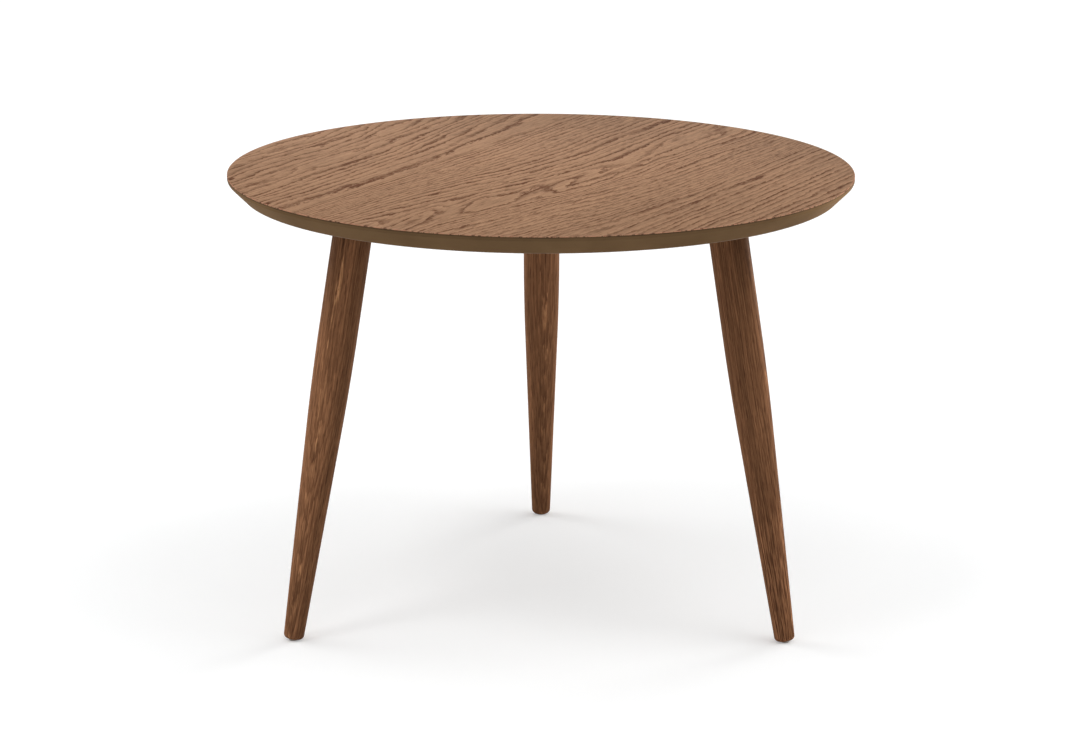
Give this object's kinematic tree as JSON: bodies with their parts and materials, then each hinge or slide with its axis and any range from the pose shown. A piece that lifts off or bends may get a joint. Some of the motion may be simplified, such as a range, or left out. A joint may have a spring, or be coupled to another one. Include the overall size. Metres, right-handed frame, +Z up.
{
  "type": "round side table",
  "caption": "Low round side table: a veneered disc top with an undercut edge on splayed, turned and tapered wooden legs that screw into angled plates below.",
  "frame": {"origin": "on the floor, under the middle of the top", "axes": "+Z up, +Y towards the rear leg, +X to the right as seen from the front"},
  "size_m": [0.6, 0.6, 0.43],
  "materials": {
    "oak_veneer": "matt brown stain on open-pored oak veneer",
    "stained_edge": "satin olive-brown stain on fibreboard",
    "backing_veneer": "plain backing veneer",
    "oak": "satin reddish-brown stain on turned oak",
    "black_steel": "black powder coat on pressed steel",
    "zinc": "bright zinc plate",
    "felt": "natural wool felt"
  },
  "bodies": {
    "root": {"top_veneer": "oak_veneer", "top_core": "stained_edge", "underside_veneer": "backing_veneer", "leg_rear": "oak", "leg_front_left": "oak", "leg_front_right": "oak", "felt_pad_rear": "felt", "felt_pad_front_left": "felt", "felt_pad_front_right": "felt", "mount_plate_rear": "black_steel", "mount_plate_front_left": "black_steel", "mount_plate_front_right": "black_steel", "plate_bush_rear": "zinc", "plate_bush_front_left": "zinc", "plate_bush_front_right": "zinc", "hanger_bolt_rear": "zinc", "hanger_bolt_front_left": "zinc", "hanger_bolt_front_right": "zinc", "plate_screw_rear_1": "zinc", "plate_screw_rear_2": "zinc", "plate_screw_rear_3": "zinc", "plate_screw_rear_4": "zinc", "plate_screw_front_left_1": "zinc", "plate_screw_front_left_2": "zinc", "plate_screw_front_left_3": "zinc", "plate_screw_front_left_4": "zinc", "plate_screw_front_right_1": "zinc", "plate_screw_front_right_2": "zinc", "plate_screw_front_right_3": "zinc", "plate_screw_front_right_4": "zinc"}
  },
  "joints": []
}
